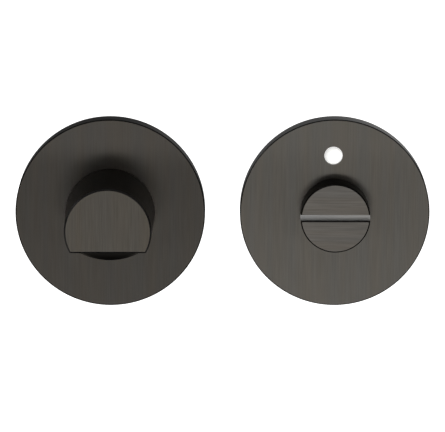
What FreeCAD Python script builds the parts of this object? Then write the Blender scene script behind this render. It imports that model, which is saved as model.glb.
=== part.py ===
import FreeCAD, Part
import os

import Sketcher

# The furniture of a bathroom door lock, both halves side by side with their faces to the viewer.
# The inside half carries the thumb turn. The outside half carries a coin-slot release disc and a
# hole that shows a white or a red field. On a door the two roses lie on opposite faces, joined by
# the square spindle and two bolts.
#
# Every piece is drawn about its own turning axis, local +Z, with local z = 0 on the face of the
# door and +z towards the viewer. Its placement then lays local +Z along -Y and local +Y along +Z.

doc = FreeCAD.newDocument("ThumbTurnLock")
sheet = doc.addObject("Spreadsheet::Sheet", "Sizes")

# Driving dimensions, in mm and degrees
SIZES = {
    # Cover roses
    "rose_diameter": 52,          # outside of a round rose
    "rose_thickness": 5.5,        # door face to the front of a rose
    "rose_wall": 1.0,             # front wall of a rose
    "skirt_wall": 1.8,            # round side wall of a rose
    "rose_edge": 0.3,             # bevel of the front rim
    "rose_corner": 0.8,           # bevel inside, between front wall and skirt
    "bead_reach": 0.3,            # inward reach of the bead that holds the rose on its base
    "bead_start": 0.4,            # door face to the bead
    "bead_width": 0.7,            # width of the bead at its root
    "axis_spacing": 61.5,         # turn axis to release axis
    "rose_twist": 1.6,            # angle by which the snapped-on release rose sits turned

    # Thumb turn
    "knob_face_diameter": 23.5,   # front face of the thumb turn
    "knob_root_diameter": 24.5,   # thumb turn beside the rose
    "knob_reach": 25,             # front of the rose to the thumb turn's face
    "knob_edge": 0.45,            # bevel round the thumb turn's face
    "flat_drop": 5.8,             # axis down to the flat edge of the face
    "scoop_radius": 34.5,         # hollow that the finger lies in
    "scoop_edge": 0.5,            # rounding along the hollow

    # Release disc
    "disc_diameter": 19,          # raised release disc
    "disc_reach": 7.6,            # front of the rose to the disc's face
    "disc_edge": 0.35,            # bevel round the disc's face
    "slot_width": 2.0,            # coin slot, across
    "slot_depth": 2.2,            # coin slot, below the disc's face

    # Stems, which are alike in both halves
    "stem_diameter": 10,          # round stem of the turn and of the disc
    "stem_tail": 8,               # stem behind the door face
    "stem_bevel": 0.5,            # bevel at the stem's end
    "running_gap": 0.3,           # rose to the underside of the knob or disc
    "end_play": 0.05,             # axial clearance between parts that turn on each other
    "turning_fit": 0.05,          # radial clearance of a stem in its bush
    "socket_fit": 0.1,            # clearance on each side of the spindle in its socket
    "turn_socket_depth": 24,      # spindle socket of the turn, from the stem's end
    "release_socket_depth": 12,   # spindle socket of the release, from the stem's end

    # Bushes, disc springs and retaining rings
    "bush_wall": 0.6,             # wall of the bush's sleeve
    "bush_flange_diameter": 16,   # flange behind the rose
    "bush_flange": 0.6,           # thickness of that flange
    "spring_diameter": 15,        # outside of the disc spring
    "spring_sheet": 0.4,          # sheet of the disc spring
    "spring_height": 0.6,         # height of the disc spring
    "spring_fit": 0.2,            # radial clearance of the disc spring on the stem
    "ring_groove": 0.35,          # depth of the groove in the stem
    "ring_thickness": 1.0,        # retaining ring
    "ring_width": 1.6,            # radial width of the retaining ring
    "ring_gap": 3.2,              # opening of the retaining ring
    "ring_lug": 1.5,              # radius of a plier lug
    "ring_eye": 1.2,              # plier hole in a lug

    # Spindle and its grub screw
    "spindle_width": 5,           # square spindle, across flats
    "spindle_bevel": 0.5,         # bevel of the spindle's ends
    "spindle_grip": 20,           # spindle inside the turn's socket
    "spindle_reach": 38,          # spindle beyond the stem's tail
    "grub_diameter": 4,           # grub screw
    "grub_height": 4,             # stem's end to the grub screw's axis
    "grub_key": 2,                # hexagon socket of the grub screw, across flats
    "grub_key_depth": 1.2,        # depth of that socket
    "grub_bevel": 0.3,            # bevel of the grub screw's ends
    "thread_fit": 0.05,           # radial clearance between a screw and its hole

    # Bases
    "base_floor": 1.2,            # floor of a base
    "base_height": 2.7,           # ribs, collar and bosses of a base
    "base_rim": 1.2,              # rim wall of a base
    "base_fit": 0.1,              # rim of a base inside the bead of its rose
    "base_bore": 11,              # centre hole of a base, round the stem
    "collar_bore": 18,            # collar that leaves room for the retaining ring
    "collar_wall": 1.4,           # wall of the collar
    "boss_diameter": 9.4,         # boss round a bolt head or sleeve head
    "bolt_inset": 5.2,            # inside of the skirt to the axis of a bolt
    "spigot_diameter": 8,         # spigot behind the base, in the door's hole
    "spigot_length": 5,           # length of that spigot
    "rib_width": 1.2,             # radial rib of a base
    "rib_count": 12,              # ribs round a base
    "tongue_count": 3,            # snap tongues round a base
    "tongue_angle": 20,           # angle that a tongue spans
    "tongue_slit": 2.5,           # angle of the slit on each side of a tongue
    "tongue_height": 3.6,         # door face to the end of a tongue
    "barb_reach": 0.3,            # outward reach of a tongue's barb past its rim
    "barb_width": 0.9,            # width of the barb
    "barb_fit": 0.15,             # barb to the bead that it holds

    # Bolts and sleeves
    "bolt_diameter": 4,           # plain shank of the bolt through the door
    "bolt_plain": 8,              # length of the plain shank
    "bolt_thread": 3.6,           # middle of the bolt's thread, between crest and root
    "bolt_length": 42,            # bolt under its head
    "bolt_hole": 4.3,             # clearance hole for the bolt
    "head_diameter": 7,           # bolt head
    "head_height": 2.4,           # bolt head
    "head_dome": 0.8,             # crowned part of the bolt head
    "head_fit": 0.25,             # clearance round a head in its boss
    "recess_span": 4.4,           # cross recess, end to end
    "recess_width": 1.0,          # cross recess, wing width
    "recess_depth": 1.6,          # depth of the cross recess
    "bolt_tip": 0.6,              # bevel of the bolt's end
    "sleeve_diameter": 6.4,       # threaded sleeve
    "sleeve_length": 16,          # threaded sleeve under its head
    "sleeve_core": 3.3,           # core hole of the sleeve's thread
    "sleeve_head": 7,             # hexagon head of the sleeve, across flats
    "sleeve_head_height": 1.2,    # head of the sleeve
    "sleeve_bevel": 0.4,          # bevel of the sleeve's end

    # Indicator
    "indicator_hole": 5,          # hole in the release rose
    "indicator_inset": 10,        # edge of the rose to the middle of the hole
    "plate_inset": 3.7,           # inside of the skirt to the indicator plate
    "plate_clearance": 0.4,       # inside of its fan to the bush's flange
    "plate_overlap": 1.6,         # ring in which fan and hub are one
    "plate_hub": 0.7,             # thickness of the hub
    "plate_fan": 0.8,             # thickness of the fan
    "plate_gap": 0.3,             # fan to the back of the rose's wall
    "plate_margin": 24,           # angle of each field either side of its middle
    "plate_fit": 0.05,            # clearance of the plate on the stem's flats
    "flats_width": 8.4,           # two flats on the stem of the release, across
    "label_sheet": 0.15,          # red label
    "label_inset": 0.8,           # label to the edge of the plate
}
for row, (name, number) in enumerate(SIZES.items(), 1):
    sheet.set(f"A{row}", name)
    sheet.set(f"B{row}", str(number))
    sheet.setAlias(f"B{row}", name)
doc.recompute()

# Heights and radii that more than one piece uses, as formulas of the sheet
FRONT = "Sizes.rose_thickness"
WALL_BACK = "(Sizes.rose_thickness - Sizes.rose_wall)"
ROSE_RADIUS = "(Sizes.rose_diameter / 2)"
SKIRT_RADIUS = "(Sizes.rose_diameter / 2 - Sizes.skirt_wall)"
STEM_RADIUS = "(Sizes.stem_diameter / 2)"
BUSH_BORE = f"({STEM_RADIUS} + Sizes.turning_fit)"
BUSH_RADIUS = f"({BUSH_BORE} + Sizes.bush_wall)"
UNDERSIDE = "(Sizes.rose_thickness + Sizes.running_gap)"
KNOB_FACE = "(Sizes.rose_thickness + Sizes.knob_reach)"
DISC_FACE = "(Sizes.rose_thickness + Sizes.disc_reach)"
FLANGE_BACK = f"({WALL_BACK} - Sizes.bush_flange)"
HUB_FRONT = f"({FLANGE_BACK} - Sizes.end_play)"
HUB_BACK = f"({HUB_FRONT} - Sizes.plate_hub)"
GROOVE_RADIUS = f"({STEM_RADIUS} - Sizes.ring_groove)"
SOCKET_WIDTH = "(Sizes.spindle_width + 2 * Sizes.socket_fit)"
RIM_RADIUS = f"({SKIRT_RADIUS} - Sizes.bead_reach - Sizes.base_fit)"
BARB_BASE = "(Sizes.bead_start + Sizes.bead_width + Sizes.barb_fit)"
FAN_FRONT = f"({WALL_BACK} - Sizes.plate_gap)"
BOLT_REACH = f"({SKIRT_RADIUS} - Sizes.bolt_inset)"
PLATE_INNER = "(Sizes.bush_flange_diameter / 2 + Sizes.plate_clearance)"
PLATE_RADIUS = f"({SKIRT_RADIUS} - Sizes.plate_inset)"
WINDOW_REACH = f"({ROSE_RADIUS} - Sizes.indicator_inset)"
GRUB_HEIGHT = "(Sizes.grub_height - Sizes.stem_tail)"
RELEASE = "Sizes.axis_spacing"


def value(formula):
    """The number that a formula of the sheet gives now."""
    return float(sheet.evalExpression(formula))


def new_body(name):
    body = doc.addObject("PartDesign::Body", name)
    body.Label = name
    return body


def new_sketch(body, name, role, height="0"):
    """A sketch on one of the body's own origin planes, moved along the plane's normal by a formula."""
    planes = [feature for feature in body.Origin.OriginFeatures if feature.Role == role]
    sketch = body.newObject("Sketcher::SketchObject", name)
    sketch.AttachmentSupport = (planes[0], "")
    sketch.MapMode = "FlatFace"
    sketch.setExpression("AttachmentOffset.Base.z", height)
    return sketch


def bound(sketch, name, constraint, formula):
    """Adds a dimension to a sketch and ties it to a formula of the sheet."""
    index = sketch.addConstraint(constraint)
    sketch.renameConstraint(index, name)
    sketch.setExpression(f"Constraints.{name}", formula)


def pin_point(sketch, name, geometry, point, x, y):
    """Holds a point of a sketch at formulas x and y from the sketch's origin."""
    across = Sketcher.Constraint("DistanceX", -1, 1, geometry, point, value(x))
    along = Sketcher.Constraint("DistanceY", -1, 1, geometry, point, value(y))
    bound(sketch, f"{name}_x", across, x)
    bound(sketch, f"{name}_y", along, y)


def add_outline(sketch, corners, name="corner"):
    """A closed outline of straight lines through corners given as pairs of formulas."""
    points = [FreeCAD.Vector(value(x), value(y), 0) for x, y in corners]
    first = sketch.GeometryCount
    count = len(points)
    for index, point in enumerate(points):
        sketch.addGeometry(Part.LineSegment(point, points[(index + 1) % count]), False)
    for index in range(count):
        following = first + (index + 1) % count
        sketch.addConstraint(Sketcher.Constraint("Coincident", first + index, 2, following, 1))
    for index, (x, y) in enumerate(corners):
        pin_point(sketch, f"{name}{index}", first + index, 1, x, y)


def add_circle(sketch, name, diameter, x="0", y="0"):
    """A circle of a formula's diameter about a point given by two formulas."""
    centre = FreeCAD.Vector(value(x), value(y), 0)
    circle = Part.Circle(centre, FreeCAD.Vector(0, 0, 1), value(diameter) / 2)
    index = sketch.addGeometry(circle, False)
    bound(sketch, f"{name}_size", Sketcher.Constraint("Diameter", index, value(diameter)), diameter)
    pin_point(sketch, name, index, 3, x, y)


def add_rectangle(sketch, width, height, x="0", y="0", name="corner"):
    """A rectangle of formulas width and height about a centre point."""
    left = f"({x}) - ({width}) / 2"
    right = f"({x}) + ({width}) / 2"
    low = f"({y}) - ({height}) / 2"
    high = f"({y}) + ({height}) / 2"
    add_outline(sketch, [(left, low), (right, low), (right, high), (left, high)], name)


def add_sector(sketch, inner, outer, start, end):
    """A closed piece of a ring about the origin, between two radii and two angles, all formulas."""
    origin = FreeCAD.Vector(0, 0, 0)
    axis = FreeCAD.Vector(0, 0, 1)
    radians = [value(f"({angle}) * pi / 180") for angle in (start, end)]
    rays = [FreeCAD.Vector(value(f"cos(({angle}) * 1 deg)"), value(f"sin(({angle}) * 1 deg)"), 0)
            for angle in (start, end)]
    first = sketch.GeometryCount
    arcs = []
    for name, radius in (("inner", inner), ("outer", outer)):
        circle = Part.Circle(origin, axis, value(radius))
        arc = sketch.addGeometry(Part.ArcOfCircle(circle, *radians), False)
        sketch.addConstraint(Sketcher.Constraint("Coincident", arc, 3, -1, 1))
        bound(sketch, f"{name}{first}", Sketcher.Constraint("Radius", arc, value(radius)), radius)
        arcs.append(arc)
    for point, angle, ray in ((1, start, rays[0]), (2, end, rays[1])):
        side = sketch.addGeometry(Part.LineSegment(ray * value(inner), ray * value(outer)), False)
        sketch.addConstraint(Sketcher.Constraint("Coincident", side, 1, arcs[0], point))
        sketch.addConstraint(Sketcher.Constraint("Coincident", side, 2, arcs[1], point))
        sketch.addConstraint(Sketcher.Constraint("PointOnObject", -1, 1, side))
        slope = Sketcher.Constraint("Angle", side, radians[point - 1])
        bound(sketch, f"side{side}", slope, f"({angle}) * 1 deg")


def pad(body, name, sketch, length, both_ways=False):
    feature = body.newObject("PartDesign::Pad", name)
    feature.Profile = sketch
    feature.setExpression("Length", length)
    feature.Midplane = both_ways
    return checked(feature, 1)


def pocket(body, name, sketch, length, both_ways=False, forwards=True):
    """A cut from a sketch: forwards goes the way of the sketch's normal."""
    feature = body.newObject("PartDesign::Pocket", name)
    feature.Profile = sketch
    feature.Midplane = both_ways
    feature.Reversed = forwards and not both_ways
    feature.setExpression("Length", length)
    return checked(feature, -1)


def revolve(body, name, sketch):
    feature = body.newObject("PartDesign::Revolution", name)
    feature.Profile = sketch
    feature.ReferenceAxis = (sketch, ["V_Axis"])
    feature.Angle = 360
    return checked(feature, 1)


def groove(body, name, sketch):
    feature = body.newObject("PartDesign::Groove", name)
    feature.Profile = sketch
    feature.ReferenceAxis = (sketch, ["V_Axis"])
    feature.Angle = 360
    return checked(feature, -1)


def solid_before(feature):
    base = feature.BaseFeature
    return base.Shape.Volume if base is not None and not base.Shape.isNull() else 0.0


def checked(feature, direction):
    """Makes sure that a feature added material (1) or cut some away (-1)."""
    doc.recompute()
    change = feature.Shape.Volume - solid_before(feature)
    if change * direction <= 0:
        raise RuntimeError(f"{feature.Name} changed the volume by {change:.4f}")
    return feature


def trim(body, kind, name, feature, edges, amount):
    """A Fillet or Chamfer of a formula's size on the named edges of the last feature."""
    if not edges:
        raise RuntimeError(f"{name} found no edge")
    trimmed = body.newObject(f"PartDesign::{kind}", name)
    trimmed.Base = (feature, edges)
    trimmed.setExpression("Radius" if kind == "Fillet" else "Size", amount)
    doc.recompute()
    return trimmed


def edges_where(feature, test):
    names = []
    for index, edge in enumerate(feature.Shape.Edges, 1):
        if test(edge):
            names.append(f"Edge{index}")
    return names


def near(number, formula, room=1e-4):
    return abs(number - value(formula)) < room


def circles_at(feature, radius, height):
    """Edges that run round the axis at a formula's radius and height."""

    def test(edge):
        box = edge.BoundBox
        flat = near(box.ZMin, height) and near(box.ZMax, height)
        curve = edge.Curve
        return flat and isinstance(curve, Part.Circle) and near(curve.Radius, radius) and curve.Center.x == 0

    return edges_where(feature, test)


def faces_viewer(body, across="0", twist="0"):
    """Lays a piece's own +Z along -Y and its own +Y along +Z, at a formula's distance along X."""
    body.Placement.Rotation = FreeCAD.Rotation(0, 0, 90)
    body.setExpression("Placement.Base.x", across)
    if twist != "0":
        turned = FreeCAD.Rotation(FreeCAD.Vector(0, 0, 1), value(twist))
        body.Placement.Rotation = body.Placement.Rotation * turned
    return body


def cover_rose(name, across, with_indicator):
    """A round cover: a flat front, a skirt back to the door and a bead inside that snaps on the base."""
    body = new_body(name)
    section = new_sketch(body, f"{name}_section", "XZ_Plane")
    bead_end = "(Sizes.bead_start + Sizes.bead_width)"
    bead_radius = f"({SKIRT_RADIUS} - Sizes.bead_reach)"
    add_outline(section, [
        (BUSH_RADIUS, WALL_BACK),
        (BUSH_RADIUS, FRONT),
        (f"{ROSE_RADIUS} - Sizes.rose_edge", FRONT),
        (ROSE_RADIUS, f"{FRONT} - Sizes.rose_edge"),
        (ROSE_RADIUS, "0"),
        (SKIRT_RADIUS, "0"),
        (SKIRT_RADIUS, "Sizes.bead_start"),
        (bead_radius, "Sizes.bead_start + Sizes.bead_reach"),
        (bead_radius, f"{bead_end} - Sizes.bead_reach"),
        (SKIRT_RADIUS, bead_end),
        (SKIRT_RADIUS, f"{WALL_BACK} - Sizes.rose_corner"),
        (f"{SKIRT_RADIUS} - Sizes.rose_corner", WALL_BACK),
    ])
    revolve(body, f"{name}_shell", section)
    if not with_indicator:
        return faces_viewer(body, across)
    window = new_sketch(body, f"{name}_window", "XY_Plane", FRONT)
    add_circle(window, "window", "Sizes.indicator_hole", "0", WINDOW_REACH)
    pocket(body, f"{name}_hole", window, "Sizes.rose_wall", forwards=False)
    return faces_viewer(body, across, "Sizes.rose_twist")


def stem_corners():
    """The outline of a stem, from its end behind the door face to the underside of its knob or disc."""
    return [
        ("0", "-Sizes.stem_tail"),
        (f"{STEM_RADIUS} - Sizes.stem_bevel", "-Sizes.stem_tail"),
        (STEM_RADIUS, "-Sizes.stem_tail + Sizes.stem_bevel"),
        (STEM_RADIUS, UNDERSIDE),
    ]


def ring_front(half):
    """Front of the retaining ring, behind what is stacked on the stem in each half."""
    stack_back = FLANGE_BACK if half == "turn" else HUB_BACK
    return f"({stack_back} - Sizes.spring_height - Sizes.end_play)"


def cut_ring_groove(body, half):
    front = f"({ring_front(half)} + Sizes.end_play)"
    back = f"({ring_front(half)} - Sizes.ring_thickness - Sizes.end_play)"
    outside = f"({STEM_RADIUS} + Sizes.ring_groove)"
    section = new_sketch(body, f"{body.Name}_groove_section", "XZ_Plane")
    add_outline(section, [(GROOVE_RADIUS, back), (outside, back), (outside, front), (GROOVE_RADIUS, front)])
    groove(body, f"{body.Name}_groove", section)


def cut_socket(body, depth):
    """The square hole for the spindle, from the stem's end forwards."""
    square = new_sketch(body, f"{body.Name}_socket_square", "XY_Plane", "-Sizes.stem_tail")
    add_rectangle(square, SOCKET_WIDTH, SOCKET_WIDTH)
    pocket(body, f"{body.Name}_socket", square, depth)


def thumb_turn():
    """The knob: a slightly tapered round bar whose lower side is hollowed out to a flat edge."""
    body = new_body("thumb_turn")
    section = new_sketch(body, "knob_section", "XZ_Plane")
    add_outline(section, stem_corners() + [
        ("Sizes.knob_root_diameter / 2", UNDERSIDE),
        ("Sizes.knob_face_diameter / 2", KNOB_FACE),
        ("0", KNOB_FACE),
    ])
    revolve(body, "knob", section)

    hollow = new_sketch(body, "scoop_circle", "YZ_Plane")
    add_circle(hollow, "scoop", "2 * Sizes.scoop_radius", "-Sizes.flat_drop - Sizes.scoop_radius", KNOB_FACE)
    scooped = pocket(body, "scoop", hollow, "2 * Sizes.knob_root_diameter", both_ways=True)

    def round_face(edge):
        box = edge.BoundBox
        return near(box.ZMin, KNOB_FACE) and near(box.ZMax, KNOB_FACE)

    bevelled = trim(body, "Chamfer", "face_bevel", scooped, edges_where(scooped, round_face), "Sizes.knob_edge")

    def along_hollow(edge):
        middle = edge.valueAt((edge.FirstParameter + edge.LastParameter) / 2)
        box = edge.BoundBox
        tall = box.ZLength > value("Sizes.knob_reach") / 3
        return tall and middle.y < -value("Sizes.flat_drop") and box.ZMax > value(UNDERSIDE)

    trim(body, "Fillet", "scoop_edges", bevelled, edges_where(bevelled, along_hollow), "Sizes.scoop_edge")

    cut_ring_groove(body, "turn")
    cut_socket(body, "Sizes.turn_socket_depth")
    tapped = new_sketch(body, "grub_hole_circle", "XZ_Plane")
    add_circle(tapped, "tapped", "Sizes.grub_diameter + 2 * Sizes.thread_fit", "0", GRUB_HEIGHT)
    pocket(body, "grub_hole", tapped, "Sizes.stem_diameter", forwards=False)
    return faces_viewer(body)


def release_disc():
    """The raised disc with a coin slot right across it, on a stem with two flats for the indicator."""
    body = new_body("release_disc")
    section = new_sketch(body, "disc_section", "XZ_Plane")
    disc_radius = "Sizes.disc_diameter / 2"
    add_outline(section, stem_corners() + [
        (disc_radius, UNDERSIDE),
        (disc_radius, f"{DISC_FACE} - Sizes.disc_edge"),
        (f"{disc_radius} - Sizes.disc_edge", DISC_FACE),
        ("0", DISC_FACE),
    ])
    revolve(body, "disc", section)
    slot = new_sketch(body, "slot_outline", "XY_Plane", DISC_FACE)
    add_rectangle(slot, "2 * Sizes.disc_diameter", "Sizes.slot_width")
    pocket(body, "slot", slot, "Sizes.slot_depth", forwards=False)

    flats = new_sketch(body, "flats_outline", "XY_Plane", "-Sizes.stem_tail")
    for side, sign in (("left", "-"), ("right", "")):
        beside = f"{sign}(Sizes.flats_width / 2 + Sizes.stem_diameter / 2)"
        add_rectangle(flats, "Sizes.stem_diameter", "2 * Sizes.stem_diameter", beside, "0", side)
    pocket(body, "flats", flats, f"Sizes.stem_tail + {HUB_FRONT}")
    cut_ring_groove(body, "release")
    cut_socket(body, "Sizes.release_socket_depth")
    return faces_viewer(body, RELEASE)


def bush(name, across):
    """A nylon sleeve in the rose's centre hole, with its flange behind the wall."""
    body = new_body(name)
    section = new_sketch(body, f"{name}_section", "XZ_Plane")
    lip = f"({UNDERSIDE} - Sizes.end_play)"
    flange_radius = "Sizes.bush_flange_diameter / 2"
    add_outline(section, [
        (BUSH_BORE, FLANGE_BACK),
        (BUSH_BORE, lip),
        (BUSH_RADIUS, lip),
        (BUSH_RADIUS, WALL_BACK),
        (flange_radius, WALL_BACK),
        (flange_radius, FLANGE_BACK),
    ])
    revolve(body, f"{name}_sleeve", section)
    return faces_viewer(body, across)


def disc_spring(name, across, front):
    """A dished ring of spring sheet that keeps the stem from rattling endways."""
    body = new_body(name)
    section = new_sketch(body, f"{name}_section", "XZ_Plane")
    inner = f"({STEM_RADIUS} + Sizes.spring_fit)"
    outer = "Sizes.spring_diameter / 2"
    back = f"({front} - Sizes.spring_height)"
    add_outline(section, [
        (inner, back),
        (outer, f"{front} - Sizes.spring_sheet"),
        (outer, front),
        (inner, f"{back} + Sizes.spring_sheet"),
    ])
    revolve(body, f"{name}_sheet", section)
    return faces_viewer(body, across)


def retaining_ring(name, across, half):
    """An open ring in the stem's groove, with two lugs for the pliers."""
    body = new_body(name)
    back = f"({ring_front(half)} - Sizes.ring_thickness)"
    thickness = "Sizes.ring_thickness"
    inner = f"({GROOVE_RADIUS} + Sizes.thread_fit)"
    outer = f"({inner} + Sizes.ring_width)"
    lug_reach = f"({inner} + Sizes.ring_lug)"
    lug_side = "(Sizes.ring_gap / 2 + Sizes.ring_lug)"
    annulus = new_sketch(body, f"{name}_annulus", "XY_Plane", back)
    add_circle(annulus, "outside", f"2 * {outer}")
    add_circle(annulus, "inside", f"2 * {inner}")
    pad(body, f"{name}_ring", annulus, thickness)
    opening = new_sketch(body, f"{name}_opening_outline", "XY_Plane", back)
    add_rectangle(opening, "Sizes.ring_gap", f"2 * {outer}", "0", f"-{outer}")
    pocket(body, f"{name}_opening", opening, thickness)
    lugs = new_sketch(body, f"{name}_lug_circles", "XY_Plane", back)
    for side, sign in (("left", "-"), ("right", "")):
        add_circle(lugs, side, "2 * Sizes.ring_lug", f"{sign}{lug_side}", f"-{lug_reach}")
    pad(body, f"{name}_lugs", lugs, thickness)
    eyes = new_sketch(body, f"{name}_eye_circles", "XY_Plane", back)
    for side, sign in (("left", "-"), ("right", "")):
        add_circle(eyes, side, "Sizes.ring_eye", f"{sign}{lug_side}", f"-{lug_reach}")
    pocket(body, f"{name}_eyes", eyes, thickness)
    return faces_viewer(body, across)


def spindle():
    """The square bar, from inside the turn's stem out to where the release takes hold of it."""
    body = new_body("spindle")
    back = "(-Sizes.stem_tail - Sizes.spindle_reach)"
    square = new_sketch(body, "spindle_square", "XY_Plane", back)
    add_rectangle(square, "Sizes.spindle_width", "Sizes.spindle_width")
    bar = pad(body, "spindle_bar", square, "Sizes.spindle_reach + Sizes.spindle_grip")

    def round_an_end(edge):
        return edge.BoundBox.ZLength < value("Sizes.spindle_bevel")

    trim(body, "Chamfer", "spindle_ends", bar, edges_where(bar, round_an_end), "Sizes.spindle_bevel")
    return faces_viewer(body)


def grub_screw():
    """A headless screw through the stem from above, its flat end on the spindle."""
    body = new_body("spindle_grub_screw")
    tip = "-Sizes.spindle_width / 2"
    length = f"({STEM_RADIUS} - Sizes.spindle_width / 2)"
    outline = new_sketch(body, "grub_circle", "XZ_Plane", tip)
    add_circle(outline, "outside", "Sizes.grub_diameter", "0", GRUB_HEIGHT)
    shank = body.newObject("PartDesign::Pad", "grub_shank")
    shank.Profile = outline
    shank.Reversed = True
    shank.setExpression("Length", length)
    checked(shank, 1)

    def round_an_end(edge):
        return edge.BoundBox.YLength < value("Sizes.grub_bevel")

    trim(body, "Chamfer", "grub_ends", shank, edges_where(shank, round_an_end), "Sizes.grub_bevel")
    key = new_sketch(body, "grub_key_outline", "XZ_Plane", f"-{STEM_RADIUS}")
    add_hexagon(key, "Sizes.grub_key", "0", GRUB_HEIGHT)
    pocket(body, "grub_key_socket", key, "Sizes.grub_key_depth")
    return faces_viewer(body)


def add_hexagon(sketch, flats, x="0", y="0", name="hexagon"):
    """A regular hexagon about a point, across flats along x."""
    half = f"({flats}) / 2"
    side = f"({flats}) / (2 * sqrt(3))"
    point = f"({flats}) / sqrt(3)"
    corners = [(half, f"-({side})"), (half, side), ("0", point), (f"-{half}", side), (f"-{half}", f"-({side})"),
               ("0", f"-({point})")]
    add_outline(sketch, [(f"({x}) + ({dx})", f"({y}) + ({dy})") for dx, dy in corners], name)


def around(body, name, feature, count):
    """Repeats a feature evenly round the piece's own axis."""
    axes = [part for part in body.Origin.OriginFeatures if part.Role == "Z_Axis"]
    pattern = body.newObject("PartDesign::PolarPattern", name)
    pattern.Originals = [feature]
    pattern.Axis = (axes[0], [""])
    pattern.Angle = 360
    pattern.setExpression("Occurrences", count)
    body.Tip = pattern
    doc.recompute()
    return pattern


def ring(body, name, outer, inner, height, low="0"):
    """A flat ring between two radii, all formulas, padded up from a height."""
    outline = new_sketch(body, f"{name}_circles", "XY_Plane", low)
    add_circle(outline, "outside", f"2 * {outer}")
    add_circle(outline, "inside", f"2 * {inner}")
    return pad(body, name, outline, height)


def at_both_bolts(sketch, name, diameter):
    for side, sign in (("left", "-"), ("right", "")):
        add_circle(sketch, f"{name}_{side}", diameter, f"{sign}{BOLT_REACH}")


def moulded_base(name, across, for_heads):
    """The under-rose: a floor with rim, collar, ribs and bosses, snap tongues in the rim and two spigots."""
    body = new_body(name)
    height = "Sizes.base_height"
    collar = "(Sizes.collar_bore / 2)"
    inner_rim = f"({RIM_RADIUS} - Sizes.base_rim)"
    ring(body, f"{name}_floor", RIM_RADIUS, "(Sizes.base_bore / 2)", "Sizes.base_floor")
    ring(body, f"{name}_rim", RIM_RADIUS, inner_rim, height)
    ring(body, f"{name}_collar", f"({collar} + Sizes.collar_wall)", collar, height)

    outline = new_sketch(body, f"{name}_rib_outline", "XY_Plane")
    middle = f"({collar} + Sizes.collar_wall / 2 + {RIM_RADIUS} - Sizes.base_rim / 2) / 2"
    length = f"({RIM_RADIUS} - Sizes.base_rim / 2 - {collar} - Sizes.collar_wall / 2)"
    add_rectangle(outline, length, "Sizes.rib_width", middle)
    half_step = "180 / Sizes.rib_count"
    outline.setExpression("AttachmentOffset.Rotation.Angle", half_step)
    rib = pad(body, f"{name}_rib", outline, height)
    around(body, f"{name}_ribs", rib, "Sizes.rib_count")

    bosses = new_sketch(body, f"{name}_boss_circles", "XY_Plane")
    at_both_bolts(bosses, "boss", "Sizes.boss_diameter")
    pad(body, f"{name}_bosses", bosses, height)
    spigots = new_sketch(body, f"{name}_spigot_circles", "XY_Plane", "-Sizes.spigot_length")
    at_both_bolts(spigots, "spigot", "Sizes.spigot_diameter")
    pad(body, f"{name}_spigots", spigots, "Sizes.spigot_length + Sizes.base_floor")

    half = "Sizes.tongue_angle / 2"
    reach = f"({half} + Sizes.tongue_slit)"
    opening = new_sketch(body, f"{name}_opening_outline", "XY_Plane", "Sizes.base_floor")
    add_sector(opening, inner_rim, f"({RIM_RADIUS} + Sizes.base_rim)", f"90 - {reach}", f"90 + {reach}")
    opened = pocket(body, f"{name}_opening", opening, height)
    around(body, f"{name}_openings", opened, "Sizes.tongue_count")
    blade = new_sketch(body, f"{name}_tongue_outline", "XY_Plane")
    add_sector(blade, inner_rim, RIM_RADIUS, f"90 - {half}", f"90 + {half}")
    tongue = pad(body, f"{name}_tongue", blade, "Sizes.tongue_height")
    around(body, f"{name}_tongues", tongue, "Sizes.tongue_count")
    hook = new_sketch(body, f"{name}_barb_section", "YZ_Plane")
    tip = f"({RIM_RADIUS} + Sizes.barb_reach)"
    add_outline(hook, [
        (f"{RIM_RADIUS} - Sizes.base_rim / 2", BARB_BASE),
        (tip, BARB_BASE),
        (tip, f"{BARB_BASE} + Sizes.barb_reach"),
        (RIM_RADIUS, f"{BARB_BASE} + Sizes.barb_width"),
        (f"{RIM_RADIUS} - Sizes.base_rim / 2", f"{BARB_BASE} + Sizes.barb_width"),
    ])
    barb = body.newObject("PartDesign::Revolution", f"{name}_barb")
    barb.Profile = hook
    barb.ReferenceAxis = (hook, ["V_Axis"])
    barb.Midplane = True
    barb.setExpression("Angle", "Sizes.tongue_angle")
    around(body, f"{name}_barbs", checked(barb, 1), "Sizes.tongue_count")

    if for_heads == "bolts":
        centres = new_sketch(body, f"{name}_hole_centres", "XY_Plane", height)
        at_both_bolts(centres, "hole", "Sizes.bolt_hole")
        doc.recompute()
        holes = body.newObject("PartDesign::Hole", f"{name}_holes")
        holes.Profile = centres
        doc.recompute()
        holes.DepthType = "ThroughAll"
        holes.setExpression("Diameter", "Sizes.bolt_hole")
        holes.HoleCutType = "Counterbore"
        holes.HoleCutCustomValues = True
        holes.setExpression("HoleCutDiameter", "Sizes.head_diameter + 2 * Sizes.head_fit")
        holes.setExpression("HoleCutDepth", "Sizes.base_height - Sizes.base_floor")
        checked(holes, -1)
        return faces_viewer(body, across)
    bores = new_sketch(body, f"{name}_bore_circles", "XY_Plane", height)
    at_both_bolts(bores, "bore", "Sizes.sleeve_diameter + 2 * Sizes.socket_fit")
    pocket(body, f"{name}_bores", bores, f"{height} + Sizes.spigot_length", forwards=False)
    seats = new_sketch(body, f"{name}_seat_outlines", "XY_Plane", "Sizes.base_floor")
    for side, sign in (("left", "-"), ("right", "")):
        add_hexagon(seats, "Sizes.sleeve_head + 2 * Sizes.head_fit", f"{sign}{BOLT_REACH}", "0", side)
    pocket(body, f"{name}_seats", seats, height)
    return faces_viewer(body, across)


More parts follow.
